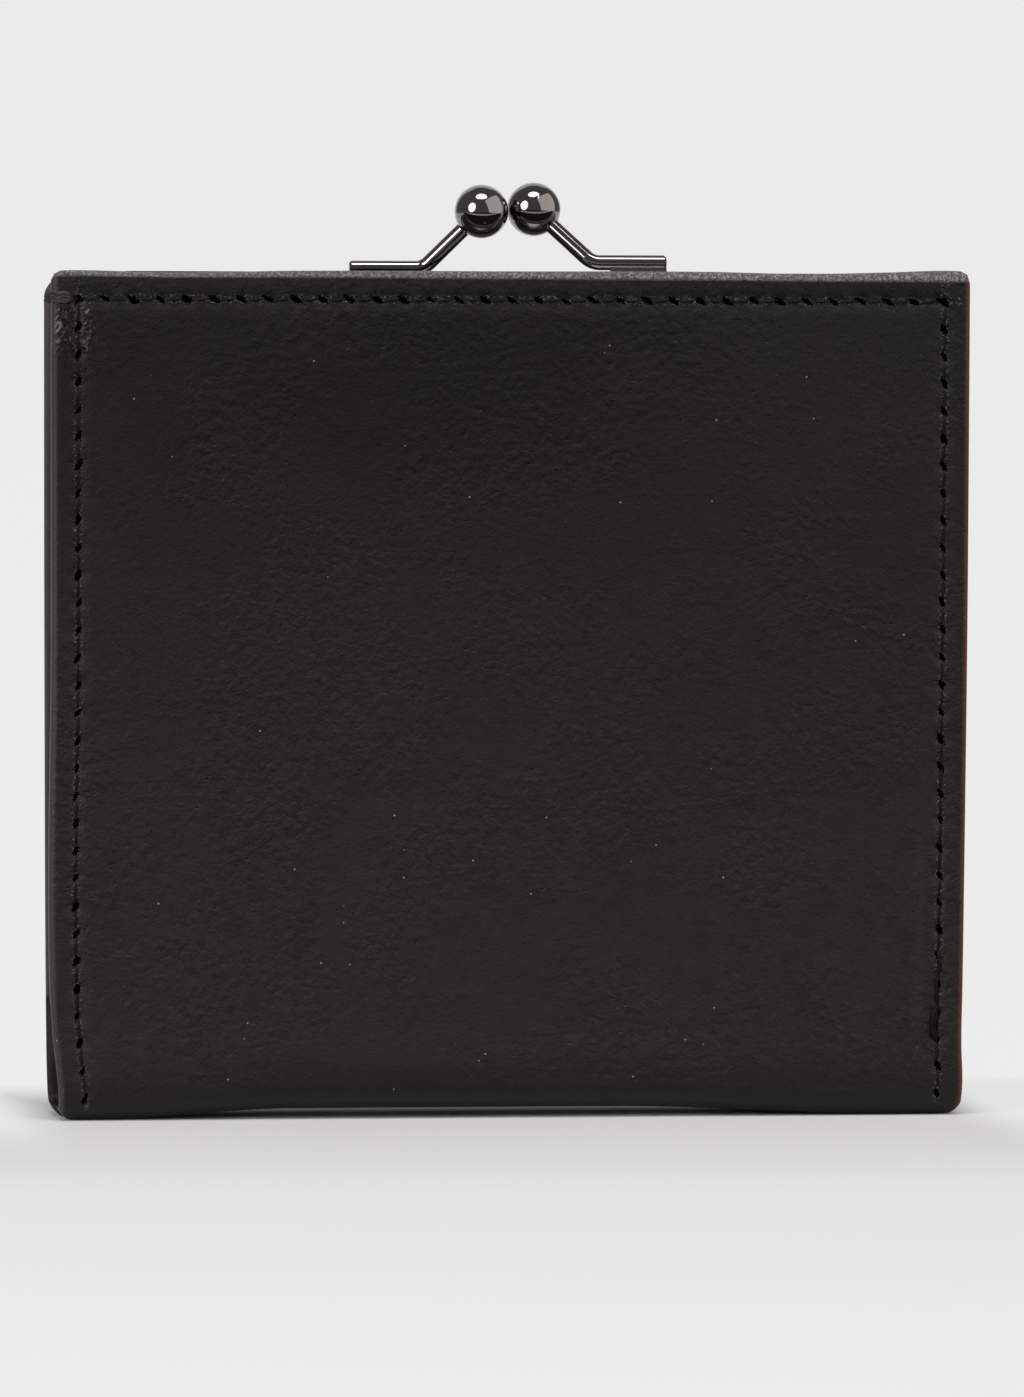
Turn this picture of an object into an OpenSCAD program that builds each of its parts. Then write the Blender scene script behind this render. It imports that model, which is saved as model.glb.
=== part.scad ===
// Kiss lock frame purse, standing closed on its folded bottom.
// Two stitched leather panels are carried by a hinged channel frame that they hide.
// Each half of the frame carries a bent rod with a ball, and the two balls cross to lock.
// X is the width, the front panel faces -Y, and Z is up from the resting surface.

/* [Leather panels] */
// Width of each leather panel
panel_w = 109; // [95:1:125]
// Height of the front panel's top edge above the resting surface
panel_h = 100; // [85:1:120]
// How much lower the back half's top edge lies
back_drop = 0.75; // [0:0.05:1.5]
// Thickness of the outer leather
leather_t = 1.2; // [0.8:0.1:1.6]
// Thickness of the stiffening board inside a panel
board_t = 0.6; // [0.3:0.1:1]
// Thickness of the leather facing behind a panel
facing_t = 0.6; // [0.4:0.1:1]
// How far the board stays inside the panel's edges, clear of the stitching
board_inset = 4.5; // [4:0.5:8]
// Top corner radius of the front panel
front_corner_r = 1.2; // [0.5:0.1:4]
// Top corner radius of the back panel
back_corner_r = 2.6; // [0.5:0.1:4]

/* [Bottom fold] */
// Outer radius where the leather turns under the purse
fold_r = 3; // [2:0.25:5]
// How much each end of the fold draws in at the floor
fold_draw_in = 0.9; // [0:0.1:2]
// Radius of the fold's lower corners, seen from the front
fold_corner_r = 2.4; // [1:0.1:4]

/* [Frame] */
// How far the frame stays inside the panel's side edges
frame_inset = 5; // [4:0.5:8]
// Depth of one channel, front to back
channel_depth = 4.2; // [3.8:0.1:5]
// Height of the channel, from its back to its open side
channel_h = 5; // [4:0.25:7]
// Sheet thickness of the channel
channel_wall = 0.7; // [0.5:0.05:0.8]
// Outer corner radius of the frame
frame_corner_r = 4; // [3.5:0.25:8]
// Gap between the closed halves
frame_gap = 0.4; // [0.2:0.1:0.8]

/* [Hinge] */
// Height of the hinge line above the resting surface
hinge_z = 12; // [10:0.5:20]
// Radius of the round ear at the foot of each leg
ear_r = 2.3; // [2:0.1:2.6]
// Sheet thickness of an ear
ear_t = 0.9; // [0.7:0.1:1.1]
// Diameter of the rivet's shank
rivet_d = 2; // [1.5:0.1:2.5]
// Diameter of the rivet's heads
rivet_head_d = 3.8; // [3.2:0.1:4.4]
// Thickness of each rivet head
rivet_head_t = 0.6; // [0.4:0.1:0.8]
// Radial clearance of the ears on the shank
pivot_clearance = 0.05; // [0.03:0.01:0.09]

/* [Clasp] */
// Diameter of the bent rods
rod_d = 1.83; // [1.5:0.05:2.1]
// Distance from the middle of the purse to a rod's cut end
rod_end_x = 18.65; // [16:0.2:24]
// Distance from the middle of the purse to the corner of the bend
rod_bend_x = 9.8; // [9:0.1:12]
// Centre line radius of the bend
rod_bend_r = 2.2; // [1.6:0.1:3]
// Diameter of the balls
ball_d = 6.4; // [5:0.1:7.5]
// Room left between the balls as they pass each other
ball_pass_gap = 0.04; // [0.02:0.01:0.2]
// How far each ball stands past the closing plane
ball_cross = 0.8; // [0.4:0.1:1.2]
// Height of the front half's ball above the front panel's top edge
ball_rise = 7.5; // [6.5:0.1:9]
// How much lower the back half's ball stands
ball_step = 0.3; // [0:0.05:0.6]
// Depth of the hole that holds the rod in its ball
ball_bore_depth = 2.4; // [1.5:0.1:3]
// Thickness of the solder between the rail and the rod
seat_t = 0.3; // [0.1:0.05:0.5]
// Height of the solder at the rod's sides
seat_h = 0.6; // [0.5:0.05:0.8]
// Width of the solder under the rod
seat_w = 1.5; // [1:0.1:1.7]

/* [Lining] */
// Thickness of the lining walls
lining_t = 0.5; // [0.3:0.05:0.7]
// Thickness of the folding gussets
gusset_t = 0.35; // [0.2:0.05:0.5]
// How far the gusset's fold reaches in from the frame at the mouth
gusset_reach = 36; // [20:1:38]
// How far the gusset's fold reaches in from the frame at the hinge
gusset_foot = 10; // [4:0.5:12]

/* [Hidden] */
$fn = 64;
// Clearance between parts that lie against each other in the channel
fit_gap = 0.05;
// Clearance around the rod in its solder seat and its ball
solder_gap = 0.04;
// Gap between a panel and the bottom fold, where the one leather piece creases
crease_gap = 0.05;
// Side clearance between the lining and the frame's feet
side_gap = 0.3;
// Bevel on the rod's cut end
rod_bevel = 0.25;
// How much thinner bending draws the rod, in radius
bend_draw = 0.01;
// How far the rod's straight lengths run on into its bend
bend_lap = 0.05;
// Width of the turned edge where a gusset folds
gusset_turn = 0.8;
// How far the channels' legs stop above the hinge's ears
ear_neck = 1.3;
// Thickness of the foot that closes each leg's channel
foot_t = 1;
// How far the inner ears stand out from the legs' inner faces
ear_inset = 0.8;
// How far above the hinge line each panel begins
crease_rise = 2;
// How far a cutting shape runs on past what it cuts
run_on = 1;
// Inner corner radius of the frame
frame_inner_r = 1.5;
// Outer radius of the fold at the bottom of the lining
lining_fold_r = 2;

// Heights of the two halves
front_top = panel_h;
back_top = panel_h - back_drop;

// Distances from the closing plane, from the inside of one half to its outside
channel_in = frame_gap / 2;
channel_out = channel_in + channel_depth;
facing_out = channel_out + facing_t;
board_out = facing_out + board_t;
panel_out = board_out + leather_t;
lining_out = channel_out - channel_wall - fit_gap;
lining_in = lining_out - lining_t;
gusset_in = channel_in + channel_wall + fit_gap;
gusset_out = gusset_in + gusset_t;
cord_d = lining_in - gusset_out - 2 * fit_gap;
cord_depth = (lining_in + gusset_out) / 2;

// The frame, seen from the front
frame_w = panel_w - 2 * frame_inset;
leg_out = frame_w / 2;
leg_in = leg_out - channel_h;
leg_end = hinge_z + ear_r + ear_neck;
foot_top = leg_end + foot_t;
slot_bottom = foot_top + fit_gap;
slot_w = frame_w - 2 * (channel_wall + fit_gap);
slot_r = frame_corner_r - channel_wall - fit_gap;
cord_inset = channel_wall + fit_gap + cord_d / 2;
cord_r = frame_corner_r - cord_inset;

// The hinge: the front ear lies inside, next to the back ear
ear_x = leg_in + ear_inset;
ear_pitch = ear_t + 2 * pivot_clearance;
rivet_x0 = ear_x - pivot_clearance;
rivet_x1 = ear_x + ear_pitch + ear_t + pivot_clearance;

// The crease between each panel and the bottom fold
crease_z = hinge_z + crease_rise;
lining_w = 2 * (leg_in - side_gap);
lining_floor = leather_t + fit_gap;

// The gusset, seen from the front
gusset_top = back_top - channel_h - side_gap;
gusset_bottom = lining_floor + lining_t + fit_gap;
gusset_foot_x = leg_in - gusset_foot;
gusset_mouth_x = leg_in - gusset_reach;

// The clasp
rod_r = rod_d / 2;
rod_depth = channel_in + channel_depth / 2;
ball_x = (ball_d + ball_pass_gap) / 2;
ball_z_front = panel_h + ball_rise;
ball_z_back = ball_z_front - ball_step;

leather = [0.15, 0.14, 0.14];
leather_edge = [0.27, 0.17, 0.14];
lining_cloth = [0.36, 0.33, 0.30];
board_grey = [0.62, 0.60, 0.56];
paper = [0.72, 0.66, 0.54];
gunmetal = [0.33, 0.33, 0.35];

// Upright outline with rounded top corners, drawn in the XZ plane
module arch(w, bottom, top, r) {
    translate([-w / 2, bottom])
        square([w, top - r - bottom]);
    translate([r - w / 2, bottom])
        square([w - 2 * r, top - bottom]);
    for (side = [-1, 1])
        translate([side * (w / 2 - r), top - r])
            circle(r);
}

// The same outline upside down: flat top and rounded bottom corners
module trough(w, bottom, top, r) {
    mirror([0, 1])
        arch(w, -top, -bottom, r);
}

// Stands an XZ outline up as a sheet of the front half, outwards from a given depth
module front_sheet(depth, t) {
    translate([0, -depth, 0])
        rotate([90, 0, 0])
            linear_extrude(t)
                children();
}

module to_back() {
    mirror([0, 1, 0])
        children();
}

// Runs a YZ section along X, centred on the purse
module along_x(length) {
    translate([-length / 2, 0, 0])
        rotate([90, 0, 90])
            linear_extrude(length)
                children();
}

module board_outline(top, grow = 0) {
    square_w = panel_w - 2 * board_inset + 2 * grow;
    bottom = crease_z + board_inset - grow;
    translate([-square_w / 2, bottom])
        square([square_w, top - board_inset + grow - bottom]);
}

// Outer leather, with a shallow pocket behind it for the board
module cover(top, corner_r) {
    difference() {
        front_sheet(facing_out, board_t + leather_t)
            arch(panel_w, crease_z, top, corner_r);
        front_sheet(facing_out - run_on, board_t + run_on)
            board_outline(top, fit_gap);
    }
}

module board(top) {
    front_sheet(facing_out, board_t)
        board_outline(top);
}

module facing(top, corner_r) {
    front_sheet(channel_out, facing_t)
        arch(panel_w, crease_z, top, corner_r);
}

module front_cover() {
    color(leather)
        cover(front_top, front_corner_r);
}

module back_cover() {
    color(leather)
        to_back()
            cover(back_top, back_corner_r);
}

module front_board() {
    color(board_grey)
        board(front_top);
}

module back_board() {
    color(board_grey)
        to_back()
            board(back_top);
}

module front_facing() {
    color(leather_edge)
        facing(front_top, front_corner_r);
}

module back_facing() {
    color(leather_edge)
        to_back()
            facing(back_top, back_corner_r);
}

// The stretch of the one leather piece that turns under the purse
module bottom_fold() {
    fold_top = crease_z - crease_gap;
    foot_w = panel_w - 2 * fold_draw_in;
    color(leather)
        intersection() {
            along_x(panel_w)
                difference() {
                    trough(2 * panel_out, 0, fold_top, fold_r);
                    trough(2 * board_out, leather_t, fold_top + run_on, fold_r - leather_t);
                }
            translate([0, panel_out + run_on, 0])
                rotate([90, 0, 0])
                    linear_extrude(2 * (panel_out + run_on))
                        union() {
                            trough(foot_w, 0, fold_top, fold_corner_r);
                            polygon([
                                [-foot_w / 2, fold_corner_r], [foot_w / 2, fold_corner_r],
                                [panel_w / 2, fold_top], [-panel_w / 2, fold_top]
                            ]);
                        }
        }
}

// Point where a line from p touches a circle of radius r about the origin
function tangent(p, r, side) =
    let (a = atan2(p[1], p[0]) + side * acos(r / norm(p)))
    [r * cos(a), r * sin(a)];

// Side view of an ear, round about the hinge line and widening to the leg above it
module ear_outline() {
    inner = [-channel_in, leg_end - hinge_z];
    outer = [-channel_out, leg_end - hinge_z];
    circle(ear_r);
    polygon([inner, outer, tangent(outer, ear_r, 1), tangent(inner, ear_r, -1)]);
}

module ear(x) {
    translate([x, 0, hinge_z])
        rotate([90, 0, 90])
            linear_extrude(ear_t)
                ear_outline();
}

// Height of the rod's axis, where it lies soldered along the rail
function rod_axis(top) = top + seat_t + rod_r;

// One channel of the frame, with feet and ears, open towards the inside of the purse
module rail(top, x) {
    difference() {
        union() {
            front_sheet(channel_in, channel_depth)
                difference() {
                    arch(frame_w, leg_end, top, frame_corner_r);
                    arch(frame_w - 2 * channel_h, leg_end - run_on, top - channel_h, frame_inner_r);
                }
            for (side = [0, 1])
                mirror([side, 0, 0])
                    ear(x);
            translate([rod_bend_x + rod_bend_r, -rod_depth - seat_w / 2, top - channel_wall / 2])
                cube([rod_end_x - rod_bend_x - rod_bend_r, seat_w, seat_h + channel_wall / 2]);
        }
        front_sheet(channel_in + channel_wall, channel_depth - 2 * channel_wall)
            arch(frame_w - 2 * channel_wall, foot_top, top - channel_wall, frame_corner_r - channel_wall);
        translate([-frame_w, 0, hinge_z])
            rotate([0, 90, 0])
                cylinder(h = 2 * frame_w, r = rivet_d / 2 + pivot_clearance);
        translate([0, -rod_depth, rod_axis(top)])
            rotate([0, 90, 0])
                cylinder(h = rod_end_x + run_on, r = rod_r + solder_gap);
    }
}

module front_rail() {
    color(gunmetal)
        rail(front_top, ear_x);
}

// The back half's clasp stands on the left, so the whole rail turns half way round
module back_rail() {
    color(gunmetal)
        rotate([0, 0, 180])
            rail(back_top, ear_x + ear_pitch);
}

module rivet() {
    translate([rivet_x0, 0, hinge_z])
        rotate([0, 90, 0]) {
            cylinder(h = rivet_x1 - rivet_x0, d = rivet_d);
            translate([0, 0, -rivet_head_t])
                cylinder(h = rivet_head_t, d = rivet_head_d);
            translate([0, 0, rivet_x1 - rivet_x0])
                cylinder(h = rivet_head_t, d = rivet_head_d);
        }
}

module right_rivet() {
    color(gunmetal)
        rivet();
}

module left_rivet() {
    color(gunmetal)
        mirror([1, 0, 0])
            rivet();
}

// Places a stem's plane on the front half: x along the rail, y along the leaning stem
module clasp_plane(top, ball_z) {
    translate([0, -rod_depth, rod_axis(top)])
        rotate([90 - atan2(rod_depth + ball_cross, ball_z - rod_axis(top)), 0, 0])
            children();
}

// Length of the leaning stem, measured up its plane from the rod's axis to the ball's centre
function stem_reach(top, ball_z) = norm([rod_depth + ball_cross, ball_z - rod_axis(top)]);

// Moves to the ball's centre and turns x down the stem, away from the ball
module at_ball(top, ball_z) {
    run = rod_bend_x - ball_x;
    reach = stem_reach(top, ball_z);
    clasp_plane(top, ball_z)
        translate([ball_x, reach, 0])
            rotate([0, 0, -atan2(reach, run)])
                children();
}

// Bent rod: a straight foot along the rail, a bend, and a stem that ends inside the ball
module clasp_rod(top, ball_z) {
    run = rod_bend_x - ball_x;
    reach = stem_reach(top, ball_z);
    slope = atan2(reach, run);
    tangent_len = rod_bend_r * tan(slope / 2);
    foot_len = rod_end_x - rod_bevel - rod_bend_x - tangent_len + bend_lap;
    stem_stop = ball_d / 2 - ball_bore_depth + fit_gap;
    stem_len = norm([run, reach]) - tangent_len - stem_stop + bend_lap;
    clasp_plane(top, ball_z)
        translate([rod_bend_x + tangent_len, rod_bend_r, 0])
            rotate([0, 0, -90 - slope]) {
                rotate_extrude(angle = slope)
                    translate([rod_bend_r, 0])
                        circle(r = rod_r - bend_draw);
                translate([rod_bend_r, bend_lap, 0])
                    rotate([90, 0, 0])
                        cylinder(h = stem_len, d = rod_d);
                rotate([0, 0, slope])
                    translate([rod_bend_r, -bend_lap, 0])
                        rotate([-90, 0, 0]) {
                            cylinder(h = foot_len, d = rod_d);
                            translate([0, 0, foot_len])
                                cylinder(h = rod_bevel, r1 = rod_r, r2 = rod_r - rod_bevel);
                        }
            }
}

module clasp_ball(top, ball_z) {
    at_ball(top, ball_z)
        difference() {
            rotate([0, 0, 180])
                sphere(d = ball_d);
            translate([ball_d / 2 - ball_bore_depth, 0, 0])
                rotate([0, 90, 0])
                    cylinder(h = ball_d, r = rod_r + solder_gap);
        }
}

module front_clasp_rod() {
    color(gunmetal)
        clasp_rod(front_top, ball_z_front);
}

module back_clasp_rod() {
    color(gunmetal)
        rotate([0, 0, 180])
            clasp_rod(back_top, ball_z_back);
}

module front_clasp_ball() {
    color(gunmetal)
        clasp_ball(front_top, ball_z_front);
}

module back_clasp_ball() {
    color(gunmetal)
        rotate([0, 0, 180])
            clasp_ball(back_top, ball_z_back);
}

// Paper cord that fills the channel and holds the lining's edge in it
module crimp_cord(top) {
    corner_x = leg_out - cord_inset - cord_r;
    corner_z = top - cord_inset - cord_r;
    translate([0, -cord_depth, 0]) {
        translate([-corner_x, 0, top - cord_inset])
            rotate([0, 90, 0])
                cylinder(h = 2 * corner_x, d = cord_d);
        for (side = [0, 1])
            mirror([side, 0, 0]) {
                translate([corner_x + cord_r, 0, slot_bottom])
                    cylinder(h = corner_z - slot_bottom, d = cord_d);
                translate([corner_x, 0, corner_z])
                    rotate([90, 0, 0])
                        rotate_extrude(angle = 90)
                            translate([cord_r, 0])
                                circle(d = cord_d);
            }
    }
}

module front_crimp_cord() {
    color(paper)
        crimp_cord(front_top);
}

module back_crimp_cord() {
    color(paper)
        to_back()
            crimp_cord(back_top);
}

// Lining wall: its edge lies in the channel, and below the feet it is narrower
module lining(top) {
    front_sheet(lining_in, lining_t) {
        arch(slot_w, slot_bottom, top - channel_wall - fit_gap, slot_r);
        translate([-lining_w / 2, crease_z])
            square([lining_w, slot_bottom - crease_z + run_on]);
    }
}

module front_lining() {
    color(lining_cloth)
        lining(front_top);
}

module back_lining() {
    color(lining_cloth)
        to_back()
            lining(back_top);
}

module lining_fold() {
    lining_fold_top = crease_z - crease_gap;
    inner_r = lining_fold_r - lining_t;
    color(lining_cloth)
        along_x(lining_w)
            difference() {
                trough(2 * lining_out, lining_floor, lining_fold_top, lining_fold_r);
                trough(2 * lining_in, lining_floor + lining_t, lining_fold_top + run_on, inner_r);
            }
}

// One wall of a gusset: held in the leg's channel, and widening towards the mouth
module gusset_outline() {
    slot_x = slot_w / 2;
    side_x = lining_w / 2;
    polygon([
        [gusset_foot_x, gusset_bottom], [side_x, gusset_bottom], [side_x, slot_bottom],
        [slot_x, slot_bottom], [slot_x, gusset_top], [gusset_mouth_x, gusset_top],
        [gusset_foot_x, slot_bottom]
    ]);
}

// Narrow strip along the gusset's inner edge, where its two walls join
module gusset_turn_outline() {
    polygon([
        [gusset_foot_x, gusset_bottom], [gusset_foot_x + gusset_turn, gusset_bottom],
        [gusset_foot_x + gusset_turn, slot_bottom], [gusset_mouth_x + gusset_turn, gusset_top],
        [gusset_mouth_x, gusset_top], [gusset_foot_x, slot_bottom]
    ]);
}

// Gusset folded inwards like a bellows, its two walls a small way apart
module gusset() {
    front_sheet(gusset_in, gusset_t)
        gusset_outline();
    front_sheet(-gusset_in, 2 * gusset_in)
        gusset_turn_outline();
    to_back()
        front_sheet(gusset_in, gusset_t)
            gusset_outline();
}

module right_gusset() {
    color(lining_cloth)
        gusset();
}

module left_gusset() {
    color(lining_cloth)
        mirror([1, 0, 0])
            gusset();
}

front_cover();
back_cover();
bottom_fold();
front_board();
back_board();
front_facing();
back_facing();
front_rail();
back_rail();
left_rivet();
right_rivet();
front_clasp_rod();
back_clasp_rod();
front_clasp_ball();
back_clasp_ball();
front_crimp_cord();
back_crimp_cord();
front_lining();
back_lining();
lining_fold();
left_gusset();
right_gusset();
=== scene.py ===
import math
import random

import bmesh
import bpy
from mathutils import Matrix, Vector, noise


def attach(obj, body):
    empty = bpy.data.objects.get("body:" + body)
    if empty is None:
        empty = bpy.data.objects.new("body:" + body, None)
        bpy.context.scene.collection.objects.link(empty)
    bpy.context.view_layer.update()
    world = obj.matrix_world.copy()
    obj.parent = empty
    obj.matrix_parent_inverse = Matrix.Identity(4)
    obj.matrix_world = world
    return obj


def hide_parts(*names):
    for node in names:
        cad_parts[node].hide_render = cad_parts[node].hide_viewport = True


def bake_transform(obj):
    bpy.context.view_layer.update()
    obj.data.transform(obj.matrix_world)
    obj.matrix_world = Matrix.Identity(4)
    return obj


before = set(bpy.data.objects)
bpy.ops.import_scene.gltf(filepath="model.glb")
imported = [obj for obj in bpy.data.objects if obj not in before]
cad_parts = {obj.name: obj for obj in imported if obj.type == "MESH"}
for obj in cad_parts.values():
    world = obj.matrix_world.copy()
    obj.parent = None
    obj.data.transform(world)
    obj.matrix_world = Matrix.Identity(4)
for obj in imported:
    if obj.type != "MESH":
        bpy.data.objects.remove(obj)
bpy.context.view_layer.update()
mm = 0.001

# The view: the closed purse stands on a sweep of pale grey paper, seen from a little to its
# left and a hand's breadth above the paper, with a long lens.
scene = bpy.context.scene
scene.view_settings.view_transform = "Standard"
camera_at = Vector((-129.46, -1063.85, 94.99)) * mm
aim_at = Vector((0.733, 0, 49.448)) * mm
roll = math.radians(0.199)
camera = bpy.data.objects.new("camera", bpy.data.cameras.new("camera"))
scene.collection.objects.link(camera)
scene.camera = camera
ahead = (aim_at - camera_at).normalized()
level = ahead.cross(Vector((0, 0, 1))).normalized()
upright = level.cross(ahead)
across = level * math.cos(roll) + upright * math.sin(roll)
up = upright * math.cos(roll) - level * math.sin(roll)
turn = Matrix((across, up, -ahead)).transposed()
camera.matrix_world = Matrix.Translation(camera_at) @ turn.to_4x4()
camera.data.lens = 232.64
camera.data.sensor_width = 36
camera.data.clip_start = 0.05
camera.data.clip_end = 20


class Wire:
    """One output socket, which can be added, multiplied and so on with numbers and other wires."""

    def __init__(self, finish, socket):
        self.finish = finish
        self.socket = socket

    def maths(self, operation, *others):
        values = dict(enumerate([self, *others]))
        return self.finish.node("Math", {"operation": operation}, values)

    def __add__(self, other):
        return self.maths("ADD", other)

    __radd__ = __add__

    def __mul__(self, other):
        return self.maths("MULTIPLY", other)

    __rmul__ = __mul__

    def __sub__(self, other):
        return self.maths("SUBTRACT", other)

    def __rsub__(self, other):
        return (self * -1) + other

    def __truediv__(self, other):
        return self.maths("DIVIDE", other)

    def __pow__(self, other):
        return self.maths("POWER", other)

    def __abs__(self):
        return self.maths("ABSOLUTE")

    def at_least(self, other):
        return self.maths("MAXIMUM", other)

    def at_most(self, other):
        return self.maths("MINIMUM", other)

    def rise(self, low, high, to_low=0.0, to_high=1.0):
        """to_low up to low, to_high from high, and a soft step between."""
        values = {"Value": self, "From Min": low, "From Max": high, "To Min": to_low, "To Max": to_high}
        return self.finish.node("MapRange", {"interpolation_type": "SMOOTHSTEP"}, values)

    def fall(self, low, high):
        """1 up to low, 0 from high, and a soft step between."""
        return self.rise(low, high, 1.0, 0.0)


class Finish:
    """One material: node() adds any node and gives its output as a Wire."""

    def __init__(self, name):
        self.material = bpy.data.materials.new(name)
        self.material.use_nodes = True
        self.tree = self.material.node_tree
        self.tree.nodes.clear()

    def node(self, kind, settings, values, output=0):
        made = self.tree.nodes.new("ShaderNode" + kind)
        for name, value in settings.items():
            setattr(made, name, value)
        for name, value in values.items():
            if isinstance(value, Wire):
                self.tree.links.new(value.socket, made.inputs[name])
            else:
                made.inputs[name].default_value = value
        return Wire(self, made.outputs[output])

    def place(self):
        """A point's place on the piece's flat pattern, in millimetres."""
        return self.node("Attribute", {"attribute_name": "cut"}, {}, "Vector")

    def own_place(self):
        """A CAD node's own coordinates, in millimetres."""
        at = self.node("TexCoord", {}, {}, "Object")
        return self.node("VectorMath", {"operation": "SCALE"}, {"Vector": at, "Scale": 1000.0})

    def parts(self, vector):
        return [self.node("SeparateXYZ", {}, {"Vector": vector}, axis) for axis in "XYZ"]

    def stretch(self, vector, scale):
        return self.node("Mapping", {}, {"Vector": vector, "Scale": scale})

    def noise(self, vector, size, detail=2.0, roughness=0.5):
        """Smooth noise with features of about the given size in millimetres, from 0 to 1."""
        values = {"Vector": vector, "Scale": 1 / size, "Detail": detail, "Roughness": roughness}
        return self.node("TexNoise", {}, values)

    def coloured_noise(self, vector, scale, detail):
        """Noise that differs in its three channels, to push a place about."""
        return self.node("TexNoise", {}, {"Vector": vector, "Scale": scale, "Detail": detail}, "Color")

    def cells(self, vector, size, feature="F1"):
        """How far a place is from the middle of its cell, or from the cell's edge."""
        return self.node("TexVoronoi", {"feature": feature}, {"Vector": vector, "Scale": 1 / size})

    def blend(self, factor, a, b):
        """Colour a where factor is 0 and b where it is 1."""
        pads = {6: (*a, 1) if isinstance(a, tuple) else a, 7: (*b, 1) if isinstance(b, tuple) else b}
        return self.node("Mix", {"data_type": "RGBA"}, {0: factor, **pads}, 2)

    def relief(self, height, depth):
        """A bump of the given depth in millimetres."""
        return self.node("Bump", {}, {"Height": height, "Strength": 1.0, "Distance": depth * mm})

    def show(self, shader):
        out = self.tree.nodes.new("ShaderNodeOutputMaterial")
        self.tree.links.new(shader.socket, out.inputs["Surface"])
        return self.material

    def surface(self, values, normal):
        return self.show(self.node("BsdfPrincipled", {}, {**values, "Normal": normal}))


# The paper sweep: one sheet of pale grey background paper, flat under the purse and curving
# up behind it. It is part of the studio, not of the purse.
paper_half = 1500
paper_front = -1500
curve_start = 1600
curve_r = 500
wall_h = 2800
sweep = bmesh.new()
paper_edge = [sweep.verts.new((x, paper_front, 0)) for x in (-paper_half, paper_half)]
sweep.edges.new(paper_edge)


def pull(bm, edges, by):
    """Extrudes edges and moves the new ones; gives the new edges."""
    made = bmesh.ops.extrude_edge_only(bm, edges=edges)["geom"]
    moved = [g for g in made if isinstance(g, bmesh.types.BMVert)]
    bmesh.ops.translate(bm, verts=moved, vec=by)
    return [g for g in made if isinstance(g, bmesh.types.BMEdge) and all(v in moved for v in g.verts)]


floor_edge = pull(sweep, sweep.edges[:], (0, curve_start - paper_front, 0))
bent = bmesh.ops.spin(
    sweep, geom=floor_edge, cent=(0, curve_start, curve_r), axis=(1, 0, 0), angle=math.pi / 2, steps=24
)["geom_last"]
pull(sweep, [g for g in bent if isinstance(g, bmesh.types.BMEdge)], (0, 0, wall_h))
bmesh.ops.recalc_face_normals(sweep, faces=sweep.faces[:])
bmesh.ops.scale(sweep, vec=(mm, mm, mm), verts=sweep.verts[:])
paper = bpy.data.objects.new("paper_sweep", bpy.data.meshes.new("paper_sweep"))
sweep.to_mesh(paper.data)
sweep.free()
for face in paper.data.polygons:
    face.use_smooth = True
scene.collection.objects.link(paper)
paper_finish = Finish("paper_grey")
paper_x, paper_y, paper_z = paper_finish.parts(paper_finish.own_place())
mirrored = paper_finish.node("LightPath", {}, {}, "Is Glossy Ray")
seen = paper_finish.node("LightPath", {}, {}, "Is Camera Ray").at_least(mirrored)
seen = seen.at_least(paper_finish.node("LightPath", {}, {}, "Is Transmission Ray"))
# Near the purse the paper takes the lamps and the shadow, and further off its tone is even but for a
# painted falloff of light, paler at the left and on the floor than up the wall
in_front = paper_y * -1
beside = abs(paper_x).rise(51, 61) * in_front.rise(-5, 60, 0.85, 0.0)
evenness = in_front.rise(15, 110) * 0.55 + in_front.rise(90, 330) * 0.45 + beside
evenness = evenness.at_least(paper_y.rise(6, 50)).at_most(1.0)
lit_paper = paper_finish.node("BsdfDiffuse", {}, {"Color": (0.61, 0.61, 0.615, 1)})
floor_left, floor_right = (0.865, 0.865, 0.868), (0.825, 0.825, 0.825)
paper_tone_painted_falloff = paper_finish.blend(paper_x.rise(-300, 300), floor_left, floor_right)
paper_tone_painted_falloff = paper_finish.blend(paper_z.rise(0, 420), paper_tone_painted_falloff, (0.81, 0.81, 0.81))
even_paper = paper_finish.node("Emission", {}, {"Color": paper_tone_painted_falloff, "Strength": 1.0})
shown_paper = paper_finish.node("MixShader", {}, {0: seen * evenness, 1: lit_paper, 2: even_paper})
# Where the clasp's metal mirrors it, the paper in front shows as a painted dark reflection, but for one
# rippled strip
ripple = paper_finish.noise(paper_finish.own_place(), 90, 3.0, 0.6) * 90
strip = (paper_y + ripple).rise(-520, -500) * (paper_y + ripple).fall(-300, -285)
near_side = paper_y.fall(-24, -6) * (1 - strip)
painted_dark_reflection = paper_finish.node("Emission", {}, {"Color": (0.03, 0.028, 0.026, 1), "Strength": 1.0})
darkened = {0: mirrored * near_side, 1: shown_paper, 2: painted_dark_reflection}
paper.data.materials.append(paper_finish.show(paper_finish.node("MixShader", {}, darkened)))

# The light: a soft box at the front left, one overhead, a large pale card at the right, and a
# weak glow from the room, which looks pale to the camera.
room_glow = 0.19
room_shown = 0.84
room = bpy.data.worlds.new("room")
room.use_nodes = True
glow = room.node_tree.nodes["Background"]
glow.inputs["Color"].default_value = (1.0, 0.96, 0.93, 1)
shown_room = room.node_tree.nodes.new("ShaderNodeMapRange")
shown_room.inputs["To Min"].default_value = room_glow
shown_room.inputs["To Max"].default_value = room_shown
room_ray = room.node_tree.nodes.new("ShaderNodeLightPath")
room.node_tree.links.new(room_ray.outputs["Is Camera Ray"], shown_room.inputs["Value"])
room.node_tree.links.new(shown_room.outputs["Result"], glow.inputs["Strength"])
scene.world = room


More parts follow.
